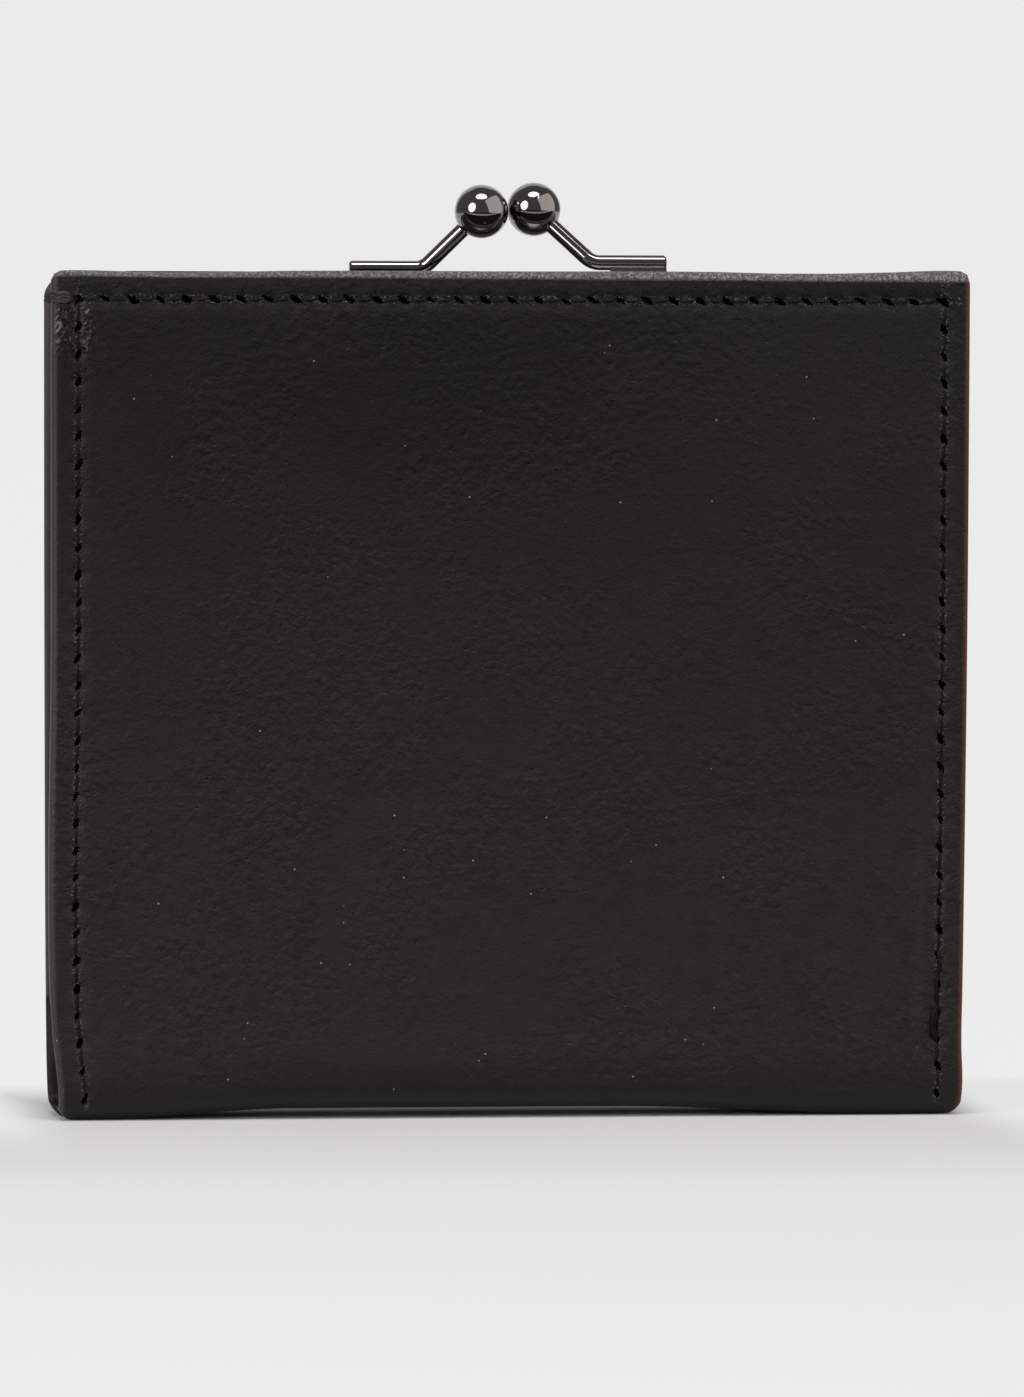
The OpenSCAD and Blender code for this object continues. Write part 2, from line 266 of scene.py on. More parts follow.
def soft_box(name, at, size, power, colour, shape="ELLIPSE"):
    """An area lamp, in metres and watts, that points at the purse."""
    lamp = bpy.data.objects.new(name, bpy.data.lights.new(name, "AREA"))
    lamp.data.shape = shape
    lamp.data.size, lamp.data.size_y = size
    lamp.data.energy = power
    lamp.data.color = colour
    lamp.location = at
    lamp.rotation_euler = (Vector((0, 0, 0.1)) - Vector(at)).to_track_quat("-Z", "Y").to_euler()
    scene.collection.objects.link(lamp)


soft_box("left_box", (-0.80, -0.69, 0.41), (0.62, 0.74), 7.0, (1.0, 0.99, 0.98))
soft_box("top_box", (-0.05, -0.41, 1.12), (0.78, 0.50), 8.0, (1.0, 1.0, 1.0))
soft_box("right_card", (0.92, -0.52, 0.55), (1.7, 1.5), 9.5, (1.0, 0.96, 0.92), "RECTANGLE")

# The outer leather: one piece of smooth black-brown cowhide runs down the front, under the
# purse and up the back. Its raw edges are rounded and burnished, and stitching pulls it in.
half_width = 54.5
outer = 6.8
hide_t = 1.2
board_room = 0.6
fold_r = 3.0
edge_r = 0.75
foot_corner_r = 1.7
fold_lift = 1.15
panel_bulge = 0.22
mesh_step = 0.55
seam_x = 51.4
seam_z = 96.68
top_pitch = 3.2
side_pitch = 3.24
seam_sink = 0.14
hole_sink = 0.30
crease_z = 14.0
# Past these lines the panel has no board in it, so its layers lie together
board_x = 50.3
board_low = 18.2
board_below_top = 4.2
# For each half its side, height and top corner's radius, the width of its left and right parts
# by height, and how its top edge waves from left to right
halves = {
    "front": {
        "side": -1,
        "top": 100.0,
        "corner": 1.3,
        "left": (
            (0, 53.55), (2.2, 53.54), (4.4, 53.64), (7.6, 54.0), (12, 54.44), (56, 54.5), (101, 54.55),
        ),
        "right": (
            (0, 54.1), (2, 54.1), (4.2, 54.2), (8.3, 54.05), (15, 54.14), (35, 54.34), (60, 54.5),
            (101, 54.6),
        ),
        "wave": (
            (-55, 0), (-51, 0.06), (-41, -0.16), (-25, 0.1), (0, 0.12), (23, 0.16), (34, -0.04),
            (45, 0.18), (51, 0.4), (55, 0.3),
        ),
    },
    "back": {
        "side": 1,
        "top": 99.25,
        "corner": 2.4,
        "left": ((0, 53.9), (3.8, 54.1), (13, 54.26), (56, 54.5), (101, 54.6)),
        "right": ((0, 53.7), (4, 53.8), (9, 54.2), (50, 54.4), (101, 54.55)),
        "wave": ((-55, 0.1), (-40, 0.05), (-20, -0.1), (0, 0.1), (22, 0.22), (38, 0.1), (55, 0)),
    },
}


def through(x, knots):
    """The height at x of a smooth line through the knots."""
    if x <= knots[0][0]:
        return knots[0][1]
    if x >= knots[-1][0]:
        return knots[-1][1]
    i = max(k for k in range(len(knots) - 1) if knots[k][0] <= x)
    slopes = [(b[1] - a[1]) / (b[0] - a[0]) for a, b in zip(knots, knots[1:])]
    start = (slopes[i - 1] + slopes[i]) / 2 if i else slopes[0]
    end = (slopes[i] + slopes[i + 1]) / 2 if i + 1 < len(slopes) else slopes[i]
    (x0, y0), (x1, y1) = knots[i], knots[i + 1]
    w = x1 - x0
    t = (x - x0) / w
    return (
        y0 * (1 + 2 * t) * (1 - t) ** 2
        + start * w * t * (1 - t) ** 2
        + y1 * t * t * (3 - 2 * t)
        - end * w * t * t * (1 - t)
    )


def soft_step(x, low, high):
    t = min(max((x - low) / (high - low), 0), 1)
    return t * t * (3 - 2 * t)


def round_corner(across_edge, along_edge, r):
    """How far a point this far from two edges moves from each, to round their corner."""
    if across_edge >= r or along_edge >= r:
        return 0, 0
    a, b = 1 - max(across_edge, 0) / r, 1 - max(along_edge, 0) / r
    return r * a * (1 - math.sqrt(1 - b * b / 2)), r * b * (1 - math.sqrt(1 - a * a / 2))


def bow(x, z):
    """How far the worn fold is lifted off the floor between its ends."""
    return fold_lift * soft_step(x, -50, -26) * (1 - soft_step(x, 12, 46)) * (1 - soft_step(z, 1, 16))


def settle(point, half, rounded=True):
    """Moves a point of the flat pattern to where the worn purse has it."""
    x, y, z = point
    if rounded:
        inward, down = round_corner(half_width - abs(x), half["top"] - z, half["corner"])
        x -= math.copysign(inward, x)
        z -= down
        inward, raised = round_corner(half_width - abs(x), z, foot_corner_r)
        x -= math.copysign(inward, x)
        z += raised
    edge = through(z, half["left"] if x < 0 else half["right"])
    z += through(x, half["wave"]) * soft_step(z, half["top"] - 1.0, half["top"] - 0.3)
    z += bow(x, z)
    lean = noise.noise(Vector((x * 0.028, z * 0.028, 3.7 * half["side"])))
    y += half["side"] * panel_bulge * lean * soft_step(z, 16, 40)
    return Vector((x * edge / half_width, y, z))


def depth_in(y, z):
    """How deep a point of the folded sheet lies under the purse's outer surface."""
    y = abs(y)
    if z >= fold_r:
        return outer - y
    if y > outer - fold_r:
        return fold_r - math.hypot(y - (outer - fold_r), fold_r - z)
    return z


def dent(x, z):
    """How deep the stitching draws the leather in at a point of the panel."""
    lines = []
    if abs(x) <= seam_x:
        lines.append((abs(z - seam_z), (x + seam_x) / top_pitch, top_pitch))
    if z <= seam_z:
        lines.append((abs(abs(x) - seam_x), (seam_z - z) / side_pitch, side_pitch))
    depth = 0
    for away, count, pitch in lines:
        along = (count - round(count)) * pitch
        furrow = seam_sink * math.exp(-((away / 0.9) ** 2))
        depth = max(depth, furrow + hole_sink * math.exp(-(along**2 + away**2) / 0.4))
    return depth * soft_step(z, 0.5, 4)


def cut_coordinates(bm):
    """Keeps each point's place on the flat pattern, which the leather's grain follows."""
    cut = bm.verts.layers.float_vector.new("cut")
    for v in bm.verts:
        v[cut] = v.co


def finish_mesh(bm, name, material):
    """Turns a bmesh in millimetres into a smooth-shaded piece in metres."""
    bmesh.ops.scale(bm, vec=(mm, mm, mm), verts=bm.verts[:])
    mesh = bpy.data.meshes.new(name)
    bm.to_mesh(mesh)
    bm.free()
    for face in mesh.polygons:
        face.use_smooth = True
    mesh.set_sharp_from_angle(angle=math.radians(50))
    mesh.materials.append(material)
    piece = bpy.data.objects.new(name, mesh)
    scene.collection.objects.link(piece)
    return piece


def folded_sheet(side, low, out, r, wide, top, spacing, margin):
    """Half of a folded sheet: a wire under the purse, round the fold and up, drawn across."""
    bm = bmesh.new()
    wire = [bm.verts.new((-wide, 0, low)), bm.verts.new((-wide, side * (out - r) / 3, low))]
    bm.edges.new(wire)
    tip = wire[-1]
    for _ in range(2):
        made = bmesh.ops.extrude_vert_indiv(bm, verts=[tip])["verts"]
        bmesh.ops.translate(bm, verts=made, vec=(0, side * (out - r) / 3, 0))
        tip = made[0]
    rounds = bmesh.ops.spin(
        bm, geom=[tip], cent=(0, side * (out - r), low + r), axis=(side, 0, 0), angle=math.pi / 2,
        steps=8,
    )["geom_last"]
    tip = [g for g in rounds if isinstance(g, bmesh.types.BMVert)][0]
    rows = round((top - margin - low - r) / spacing)
    for rise in [(top - margin - low - r) / rows] * rows + [margin]:
        made = bmesh.ops.extrude_vert_indiv(bm, verts=[tip])["verts"]
        bmesh.ops.translate(bm, verts=made, vec=(0, 0, rise))
        tip = made[0]
    columns = round(2 * (wide - margin) / spacing)
    edge = pull(bm, bm.edges[:], (margin, 0, 0))
    edge = bmesh.ops.spin(
        bm, geom=edge, cent=(0, 0, 0), axis=(1, 0, 0), angle=0, steps=columns,
        dvec=(2 * (wide - margin) / columns, 0, 0),
    )["geom_last"]
    pull(bm, [g for g in edge if isinstance(g, bmesh.types.BMEdge)], (margin, 0, 0))
    bmesh.ops.remove_doubles(bm, verts=bm.verts[:], dist=0.001)
    face = max(bm.faces, key=lambda f: f.calc_center_median().z)
    if face.normal.y * side < 0:
        bmesh.ops.reverse_faces(bm, faces=bm.faces[:])
    return bm


def sharp_edges(bm, on_rim):
    """The edges where a sheet turns sharply, with both ends on its rim."""
    bm.normal_update()
    return [
        e
        for e in bm.edges
        if e.is_manifold and e.calc_face_angle() > 1.0 and all(on_rim(v.co) for v in e.verts)
    ]


def round_off(bm, edges, r, segments):
    bmesh.ops.bevel(
        bm, geom=edges, offset=r, offset_type="OFFSET", affect="EDGES",
        segments=segments, profile=0.5, material=-1, clamp_overlap=True,
    )


hide = Finish("outer_leather")
at = hide.place()
at_x, at_y, at_z = hide.parts(at)
outside = abs(at_y).rise(6.0, 6.6)
# Soft pebbles, weaker in patches, with faint creases, small pits and fine pores
warp = {"Vector": hide.coloured_noise(at, 0.45, 2.0), "Scale": 1.5}
warp = hide.node("VectorMath", {"operation": "SCALE"}, warp)
bent_at = hide.node("VectorMath", {"operation": "ADD"}, {0: at, 1: warp})
creases = hide.cells(bent_at, 1.5, "DISTANCE_TO_EDGE").rise(0.0, 0.28)
small_creases = hide.cells(bent_at, 0.66, "DISTANCE_TO_EDGE").rise(0.0, 0.3)
pores = hide.noise(at, 0.2, 2.0, 0.6)
cloud = hide.noise(at, 30, 2.0, 0.5)
grain_mask = hide.noise(at, 16, 2.0).rise(0.36, 0.62, 0.2, 1.0)
pebbles = hide.noise(at, 1.1, 2.0, 0.5)
pits = hide.cells(at, 1.5).fall(0.06, 0.15) * grain_mask
grain = pebbles * (grain_mask + 0.3) * 1.7 + creases * grain_mask * 0.22
grain = grain + small_creases * 0.18 + pores * 0.4 - pits * 0.5
# The front's left end and the back's right end are alike, so marks are placed by this
lap_x = at_x * at_y.maths("SIGN")
# Stitch holes: slanted slits along the seams, a little uneven
wob_x, wob_y, wob_z = hide.parts(hide.coloured_noise(at, 0.45, 1.0))


def slits(line_away, line_count, pitch, slant, length, width):
    """1 in each stitch hole of a seam and 0 round it."""
    nearest = (line_count + (wob_x - 0.5) * 0.12).maths("FRACT")
    along = (abs(nearest - 0.5) * -1 + 0.5) * pitch * (nearest - 0.5).maths("SIGN") * -1
    away = line_away + (wob_z - 0.5) * 0.5
    p = along * math.cos(slant) + away * math.sin(slant)
    q = away * math.cos(slant) - along * math.sin(slant)
    spread = ((p / length) ** 2 + (q / width) ** 2) ** 0.5
    ragged = spread * ((wob_y - 0.5) * 1.1 + 1) + (pores - 0.5) * 1.6
    return ragged.fall(0.8, 1.15)


from_top_seam = at_z - seam_z
from_side_seam = abs(at_x) - seam_x
top_line = slits(from_top_seam, (at_x + seam_x) / top_pitch, top_pitch, -0.45, 0.74, 0.31)
top_line = top_line * abs(at_x).fall(51.6, 52.0)
side_line = slits(from_side_seam, from_top_seam / side_pitch * -1, side_pitch, 0.42, 0.66, 0.30)
side_line = side_line * at_z.fall(97.0, 97.3) * at_z.rise(1.0, 1.6)
holes = top_line.at_least(side_line) * outside
# Burnished rim, a painted highlight on the grainy crest of the top edge, dust and scratches
rim = abs(at_x).rise(53.7, 54.3).at_least(abs(at_y).fall(6.3, 6.75) * at_z.rise(4, 8))
crest = (at_z + at_x * 0.003).rise(99.0, 99.45) * at_z.rise(50, 51)
crest_grain_and_highlight = hide.noise(at, 0.3, 3.0, 0.7).rise(0.36, 0.62)
dust = hide.cells(at, 3.6).fall(0.020, 0.036) + hide.cells(at, 11.0).fall(0.007, 0.013)
slant = {"X": at_x * 0.8 + at_z, "Y": at_y, "Z": (at_x - at_z * 0.8) * 0.12}
scratches = hide.cells(hide.node("CombineXYZ", {}, slant), 11.0).fall(0.003, 0.008)
marks = (dust + scratches).at_most(1.0) * outside
# Pulled and polished by the last stitches: wrinkles at the crossing, a crease at the foot
from_crossing = (((lap_x - 51.9) / 3.2) ** 2 + ((at_z - 93.6) / 4.8) ** 2) ** 0.5
crossing = from_crossing.fall(0.2, 1.2) * outside
wrinkles = hide.noise(hide.stretch(at, (1.0, 1.0, 0.5)), 0.5, 3.0, 0.65)
pulled = abs((lap_x + 50.0) * 0.75 + (at_z - 9.0) * 0.66 + (wob_y - 0.5) * 1.2).fall(0.0, 0.3)
pulled = pulled * lap_x.rise(-50.8, -49.6) * lap_x.fall(-48.5, -46.5) * at_z.fall(9.2, 9.6)
welt = abs(lap_x + 48.9).fall(0.0, 1.1) * at_z.rise(8, 12) * at_z.fall(28, 36) * outside
# Wax along the seams, with painted glints on it, and painted highlight streaks on both sides of the
# last stitches
from_seam = abs(from_side_seam).at_most(abs(from_top_seam))
wax_with_painted_glint = from_seam.fall(0.25, 0.75) * hide.noise(at, 0.42, 2.0, 0.6).rise(0.5, 0.6) * outside
painted_streak_band = abs(abs(lap_x - 52.1) - 1.6).fall(0.1, 0.8)
painted_streak_band = painted_streak_band * at_z.rise(89.0, 94.0) * at_z.fall(96.2, 96.8)
slant = {"X": lap_x * 0.8 + at_z * 0.6, "Y": at_y, "Z": (at_z * 0.8 - lap_x * 0.6) * 0.4}
streaks = hide.noise(hide.node("CombineXYZ", {}, slant), 0.36, 2.0, 0.5).rise(0.52, 0.62)
painted_glints = (crossing * wrinkles.rise(0.54, 0.68) * 0.4).at_least(painted_streak_band * streaks * outside)
painted_glints = painted_glints.at_least(wax_with_painted_glint * pores.rise(0.5, 0.62))
# Colour: near-black above and lighter, browner below, a painted gradient that stands in for the floor's
# bounce light; cloudy and mottled; worn at the rim; painted shade at the foot and in the grain; painted
# highlights on the crest and along the seams
tone = hide.blend(at_z.fall(-10, 105), (0.0014, 0.0013, 0.0012), (0.0172, 0.0112, 0.0078))
tone = hide.blend(cloud.rise(0.35, 0.7) * 0.25, tone, (0.0105, 0.0078, 0.0066))
mottle = hide.noise(at, 2.4, 3.0, 0.6)
tone = hide.blend(mottle.rise(0.35, 0.7) * 0.3, tone, (0.0008, 0.0008, 0.0010))
# Painted shade: darker along the foot, where the leather turns under towards the floor
tone = hide.blend(at_z.rise(2.0, 9.0, 0.9, 0.0), tone, (0.0022, 0.0019, 0.0018))
# Painted shade: the grain's creases and pits are darkened, as shade falls in them
grain_crease_shade = (pits * 0.6).at_least(creases.rise(0.0, 0.6, 0.2, 0.0) * grain_mask)
tone = hide.blend(grain_crease_shade, tone, (0.0012, 0.0011, 0.0011))
tone = hide.blend(welt * 0.25, tone, (0.022, 0.019, 0.017))
worn_rim = hide.blend(at_x.rise(-10, 10), (0.040, 0.033, 0.031), (0.085, 0.024, 0.011))
tone = hide.blend(rim * 0.8, tone, worn_rim)
# Painted highlights: glints on the wax, streaks beside the last stitches and the crossing's wrinkles
# are painted pale
tone = hide.blend(painted_glints * 0.85, tone, (0.135, 0.130, 0.126))
# Painted highlight: the crest of the top edge is painted pale in grainy specks, where the light from
# above catches it
tone = hide.blend(crest * (crest_grain_and_highlight * 0.75 + 0.25), tone, (0.205, 0.198, 0.192))
tone = hide.blend(marks * 0.8, tone, (0.26, 0.25, 0.24))
# Painted shade: the stitch holes are painted near-black, as shade fills them
tone = hide.blend(holes * 0.98, tone, (0.0005, 0.0005, 0.0005))
# Gloss and relief
sheen = hide.noise(at, 9, 3.0, 0.55) * 0.14 + pores * 0.10 + 0.42
sheen = sheen - crest * 0.06 - crossing * 0.26 - wax_with_painted_glint * 0.18 + holes * 0.4
height = grain * (crest * 0.8 + 1) + crest * crest_grain_and_highlight * 1.6 + crossing * wrinkles * 3.6 + wax_with_painted_glint * 0.9
height = height + welt * 1.4 - pulled * 0.6 - holes * 6.0
# In the holes and over the upper left, dark metal takes the place of the gloss: painted shade that
# darkens the leather there
painted_shade_upper_left = at_z.rise(58, 90) * at_z.fall(96.4, 97.4) * at_x.fall(5, 45) * 0.2
leather = hide.surface(
    {
        "Base Color": tone,
        "Metallic": holes.at_least(painted_shade_upper_left),
        "Roughness": sheen,
        "Specular IOR Level": 0.34,
    },
    hide.relief(height, 0.075),
)

for name, half in halves.items():
    side = half["side"]
    bm = folded_sheet(side, 0, outer, fold_r, half_width, half["top"], mesh_step, 1.0)
    bmesh.ops.solidify(bm, geom=bm.faces[:], thickness=hide_t)
    corners = sharp_edges(bm, lambda at: abs(depth_in(at.y, at.z)) < 0.05)
    # The two halves meet under the purse at y 0, where the leather isn't cut
    corners = [e for e in corners if max(abs(v.co.y) for v in e.verts) > 0.01]
    round_off(bm, corners, edge_r, 4)
    for v in bm.verts:
        x, y, z = v.co
        if abs(depth_in(y, z) - hide_t) < 0.05 and z > crease_z - 0.3:
            beyond = abs(x) > board_x or z > half["top"] - board_below_top or z < board_low
            v.co.y -= side * board_room * beyond
    cut_coordinates(bm)
    for v in bm.verts:
        if depth_in(v.co.y, v.co.z) < 0.3:
            v.co.y -= side * dent(v.co.x, v.co.z)
        v.co = settle(v.co, half)
    piece = finish_mesh(bm, name + "_leather", leather)
    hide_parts(name + "_cover", "bottom_fold")
    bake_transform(piece)

# The facing: a thinner leather glued behind each panel, its edge rounded with the panel's.
facing_in = 4.4
facing_t = 0.6
facing_edge_r = 0.3
inner_hide = Finish("facing_leather")
at = inner_hide.place()
fibres = inner_hide.noise(at, 0.3, 3.0, 0.6)
clouds = inner_hide.noise(at, 14, 2.0)
facing_tone = inner_hide.blend(clouds, (0.030, 0.024, 0.021), (0.045, 0.035, 0.030))
facing_leather = inner_hide.surface(
    {"Base Color": facing_tone, "Roughness": fibres * 0.15 + 0.5, "Specular IOR Level": 0.4},
    inner_hide.relief(fibres, 0.05),
)
for name, half in halves.items():
    side = half["side"]
    height = half["top"] - crease_z
    bm = bmesh.new()
    bmesh.ops.create_grid(bm, x_segments=60, y_segments=48, size=1)
    bmesh.ops.rotate(bm, verts=bm.verts[:], matrix=Matrix.Rotation(math.pi / 2, 3, "X"))
    bmesh.ops.scale(bm, vec=(half_width, 1, height / 2), verts=bm.verts[:])
    bmesh.ops.translate(bm, vec=(0, side * facing_in, crease_z + height / 2), verts=bm.verts[:])
    bm.normal_update()
    if next(iter(bm.faces)).normal.y * side > 0:
        bmesh.ops.reverse_faces(bm, faces=bm.faces[:])
    bmesh.ops.solidify(bm, geom=bm.faces[:], thickness=facing_t)
    round_off(bm, sharp_edges(bm, lambda at: abs(abs(at.y) - facing_in) < 0.05), facing_edge_r, 3)
    cut_coordinates(bm)
    for v in bm.verts:
        v.co = settle(v.co, half)
    piece = finish_mesh(bm, name + "_facing_sheet", facing_leather)
    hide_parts(name + "_facing")
    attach(piece, name + "_half")

# The stitching: waxed black thread through all the layers of a panel, three millimetres in
# from its edges, in slanted holes. Two strands are laid together, so it looks twisted.
thread_r = 0.23
fibre_r = 0.07
side_stitches = 29
wrap_strands = 10
wrap_low = 96.35
wrap_pitch = 0.12
frayed_fibres = 5
fray_z = 96.8
stitch_tilt = 0.085
# How deep the thread lies along a stitch, from hole to hole
dips = (-0.66, -0.44, -0.28, -0.22, -0.22, -0.28, -0.44, -0.66)
# Each loose stitch's bow to the side, its lift, and the heights of its two ends
loose_stitches = (
    (0.62, 0.16, 13.1, 9.0), (0.34, 0.04, 12.6, 9.4), (0.2, -0.12, 16.6, 13.5),
    (-0.16, -0.14, 19.4, 16.7),
)
# Along a loose stitch: the place from 0 to 1, the share of the bow, and the height off the leather
loose_line = (
    (0, 0, -0.6), (0.05, 0.25, -0.15), (0.2, 0.8, 0.0), (0.4, 1.1, 0.03), (0.6, 1.15, 0.02),
    (0.8, 0.9, 0.0), (0.95, 0.3, -0.15), (1, 0, -0.6),
)
thread = Finish("waxed_thread")
lay = thread.noise(thread.place(), 0.18, 2.0, 0.6)
thread_x = thread.parts(thread.place())[0]
thread_tone = thread.blend(lay, (0.0025, 0.0025, 0.0025), (0.008, 0.0075, 0.007))
# Round the panel's edge the thread is frayed and grey
frayed = abs(thread_x).rise(51.9, 52.8) * lay.rise(0.38, 0.6, 0.15, 1.0)
thread_tone = thread.blend(frayed, thread_tone, (0.060, 0.058, 0.057))
thread_cord = thread.surface(
    {"Base Color": thread_tone, "Roughness": lay * 0.3 + 0.5, "Specular IOR Level": 0.13},
    thread.relief(lay, 0.08),
)


def cord_along(bm, points, r, sides=7, lobe=0.16, twist=0.9, uneven=0.0):
    """A twisted two-strand cord with its middle on the points."""
    rings = []
    for i, point in enumerate(points):
        here = Vector(point)
        ahead_of = Vector(points[min(i + 1, len(points) - 1)]) - Vector(points[max(i - 1, 0)])
        turned = ahead_of.to_track_quat("Z", "Y").to_matrix()
        ring_r = r * (1 + dice.uniform(-uneven, uneven))
        ring = bmesh.ops.create_circle(bm, segments=sides, radius=ring_r)["verts"]
        spin = Matrix.Rotation(twist * i, 3, "Z")
        bmesh.ops.scale(bm, vec=(1 + lobe, 1 - lobe, 1), verts=ring)
        bmesh.ops.rotate(bm, verts=ring, matrix=turned @ spin)
        bmesh.ops.translate(bm, vec=here, verts=ring)
        rings.append(ring)
    for a, b in zip(rings, rings[1:]):
        edges = [e for v in a for e in v.link_edges if e.other_vert(v) in a]
        edges += [e for v in b for e in v.link_edges if e.other_vert(v) in b]
        bmesh.ops.bridge_loops(bm, edges=list(set(edges)))
    for ring in (rings[0], rings[-1]):
        edges = [e for v in ring for e in v.link_edges if e.other_vert(v) in ring]
        bmesh.ops.edgeloop_fill(bm, edges=list(set(edges)))


dice = random.Random(7)
for name, half in halves.items():
    side = half["side"]
    wanted = []
    for k in range(round(2 * seam_x / top_pitch)):
        wanted.append((-seam_x + k * top_pitch, seam_z, 0.0, top_pitch))
    for edge in (-1, 1):
        for k in range(side_stitches):
            wanted.append((edge * seam_x, seam_z - k * side_pitch, math.pi / 2, side_pitch))
    bm = bmesh.new()
    span = [(i + 0.9) / (len(dips) + 0.8) for i in range(len(dips))]
    for x, z, turned, pitch in wanted:
        tilt = stitch_tilt + dice.uniform(-0.04, 0.04)
        points = []
        for s, h in zip(span, dips):
            along = s * pitch
            away = (s - 0.5) * pitch * tilt * (1 if turned == 0 else -1)
            px, pz = (x + along, z + away) if turned == 0 else (x + away, z - along)
            points.append((px, side * (outer + h + dice.uniform(-0.02, 0.03)), pz))
        cord_along(bm, points, thread_r * dice.uniform(0.93, 1.07), sides=6)
    # The last stitch at one corner is wrapped round the panel's edge, strand over strand
    for i in range(wrap_strands):
        z = wrap_low + wrap_pitch * i + dice.uniform(-0.15, 0.15)
        reach = half_width + 0.45 + dice.uniform(-0.2, 0.3)
        lift = dice.uniform(-0.05, 0.12)
        points = [
            (side * (seam_x + 0.1), side * (outer - 0.5), seam_z),
            (side * (seam_x + 0.7), side * (outer - 0.02 + lift / 2), (z + seam_z) / 2),
            (side * (seam_x + 1.6), side * (outer + 0.08 + lift), z + dice.uniform(-0.1, 0.1)),
            (side * (half_width - 0.7), side * (outer + 0.06 + lift), z + dice.uniform(-0.1, 0.1)),
            (side * (half_width + 0.05), side * (outer - 0.1), z + 0.1),
            (side * reach, side * (outer - 0.75), z + 0.1),
            (side * reach, side * (outer - 1.5), z + 0.06),
            (side * (half_width + 0.12), side * (facing_in + 0.1), z),
            (side * (half_width - 0.9), side * (facing_in - 0.16), z - 0.05),
            (side * (half_width - 2.0), side * (facing_in - 0.1), z - 0.05),
            (side * (half_width - 2.4), side * (facing_in + 0.3), z),
        ]
        cord_along(bm, points, thread_r * dice.uniform(0.5, 0.8), sides=6, uneven=0.3)
    for _ in range(frayed_fibres):
        z = fray_z + dice.uniform(-0.4, 0.6)
        start = Vector((side * (half_width + 0.1), side * (outer - dice.uniform(0.1, 1.2)), z))
        points = []
        for k in range(4):
            onward = (side * 0.16 * k, side * 0.03 * k, dice.uniform(-0.06, 0.12) * k)
            points.append(start + Vector(onward))
        cord_along(bm, points, fibre_r, sides=5, uneven=0.3)
    # Loose back-stitches near the foot of the other side seam
    for bulge, lift, high, low in loose_stitches:
        points = []
        for s, b, h in loose_line:
            y = outer + h + (lift if 0 < s < 1 else 0)
            points.append((-side * (seam_x - bulge * b), side * y, high + (low - high) * s))
        cord_along(bm, points, thread_r * 1.05, sides=7, uneven=0.15)
    bmesh.ops.recalc_face_normals(bm, faces=bm.faces[:])
    cut_coordinates(bm)
    for v in bm.verts:
        v.co = settle(v.co, half, rounded=False)
    piece = finish_mesh(bm, name + "_stitching", thread_cord)
    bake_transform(piece)

# The boards: grey fibre board glued between leather and facing keeps each panel flat.
fibre_board = Finish("fibre_board")
flecks = fibre_board.noise(fibre_board.own_place(), 0.5, 3.0, 0.65)
board_tone = fibre_board.blend(flecks, (0.30, 0.27, 0.23), (0.42, 0.39, 0.34))
board_finish = fibre_board.surface(
    {"Base Color": board_tone, "Roughness": 0.85}, fibre_board.relief(flecks, 0.05)
)


def dress(names, material):
    """Gives CAD nodes their finish."""
    for name in names:
        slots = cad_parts[name].data.materials
        slots.clear()
        slots.append(material)


dress(("front_board", "back_board"), board_finish)

# The lining: dark twill, one strip that runs down one half, across the purse's floor and up
# the other, its edges held in the frame's channels.
lining_low = 1.25
lining_out = 3.65
lining_t = 0.5
lining_r = 2.0
lining_corner_r = 3.25
lining_below_top = 0.75
cloth_step = 1.3
slot_half = 48.75
foot_half = 44.2
foot_z = 16.65
cloth_slack = 0.7
twill = Finish("lining_twill")
weave_x, weave_y, weave_z = twill.parts(twill.place())
ribs = ((weave_x + weave_z + weave_y) * 9.0).maths("SINE") * 0.5 + 0.5
slubs = twill.noise(twill.stretch(twill.place(), (1, 1, 4)), 3.0, 2.0)
twill_tone = twill.blend(slubs, (0.020, 0.018, 0.017), (0.034, 0.031, 0.029))
twill_tone = twill.blend(ribs * 0.35, twill_tone, (0.052, 0.048, 0.044))
lining_cloth = twill.surface(
    {
        "Base Color": twill_tone,
        "Roughness": 0.7,
        "Specular IOR Level": 0.3,
        "Sheen Weight": 0.25,
        "Sheen Roughness": 0.5,
    },
    twill.relief(ribs + slubs * 0.6, 0.06),
)
for name, half in halves.items():
    side = half["side"]
    top = half["top"] - lining_below_top
    bm = folded_sheet(
        side, lining_low, lining_out, lining_r, slot_half, top, cloth_step, cloth_step
    )
    bmesh.ops.solidify(bm, geom=bm.faces[:], thickness=lining_t)
    cut_coordinates(bm)
    for v in bm.verts:
        x, y, z = v.co
        inward, down = round_corner(slot_half - abs(x), top - z, lining_corner_r)
        x -= math.copysign(inward, x)
        z -= down
        if z < foot_z:
            x *= foot_half / slot_half
        # Between the channels and the fold the cloth is free, and slack
        slack = cloth_slack * abs(noise.noise(Vector((x * 0.09, 5 * side, z * 0.05))))
        free = (1 - soft_step(abs(x), 36, 43)) * soft_step(z, 8, 20) * (1 - soft_step(z, 84, 93))
        y -= side * slack * free
        v.co = (x, y, z + bow(x, z))
    piece = finish_mesh(bm, name + "_lining_cloth", lining_cloth)
    above_foot = top - foot_z
    length = lining_out - lining_r + lining_r * math.pi / 2 + top - lining_low - lining_r
    area = 2 * slot_half * above_foot + 2 * foot_half * (length - above_foot)
    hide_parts(name + "_lining", "lining_fold")
    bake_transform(piece)

# The gussets: a folded web of the same twill closes each side. Its edges lie in the two legs'
# channels, and shut it folds inwards like a bellows.
gusset_in = 0.95
gusset_t = 0.35
gusset_top = 93.95
gusset_low = 1.8
foot_x = 34.5
mouth_x = 8.5
